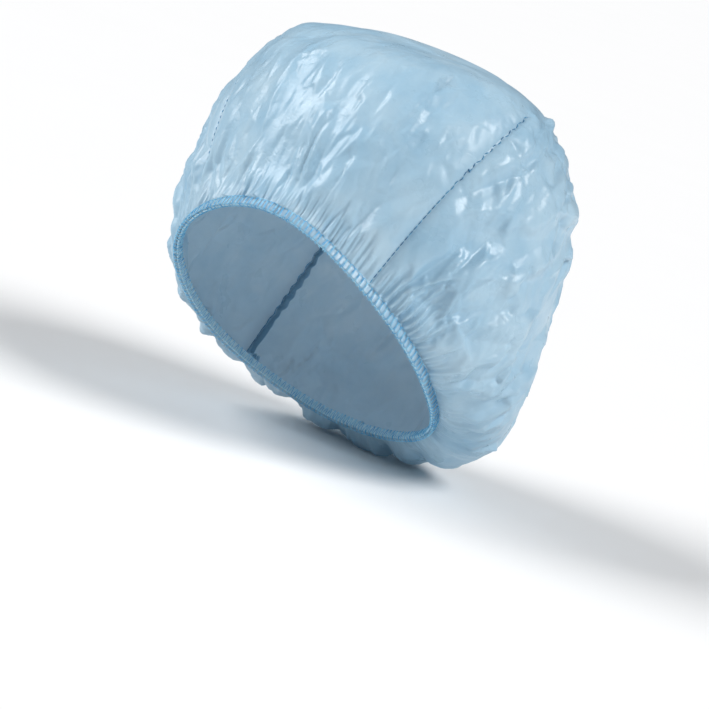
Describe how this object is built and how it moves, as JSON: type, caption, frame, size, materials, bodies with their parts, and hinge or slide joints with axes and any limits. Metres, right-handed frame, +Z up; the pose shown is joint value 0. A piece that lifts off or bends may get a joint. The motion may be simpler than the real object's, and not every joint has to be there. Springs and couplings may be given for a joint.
{
  "type": "highlighting cap",
  "caption": "Puffed translucent plastic film hair cap with corner dart seams and an overlocked elastic band, shaped as worn on an upright head.",
  "frame": {"origin": "centre of the head opening, level with the middle of the band's lower edge", "axes": "+Z up as worn on an upright head, the face towards -Y, the wearer's left towards +X"},
  "size_m": [0.1852, 0.1818, 0.1919],
  "materials": {
    "film": "gloss",
    "elastic": "matte",
    "thread": "satin"
  },
  "bodies": {
    "root": {"film_body": "film", "elastic_band": "elastic", "rim_needle_thread": "thread", "rim_upper_looper_thread": "thread", "rim_lower_looper_thread": "thread", "front_left_dart_needle_thread": "thread", "front_left_dart_bobbin_thread": "thread", "front_right_dart_needle_thread": "thread", "front_right_dart_bobbin_thread": "thread", "rear_left_dart_needle_thread": "thread", "rear_left_dart_bobbin_thread": "thread", "rear_right_dart_needle_thread": "thread", "rear_right_dart_bobbin_thread": "thread"}
  },
  "joints": []
}
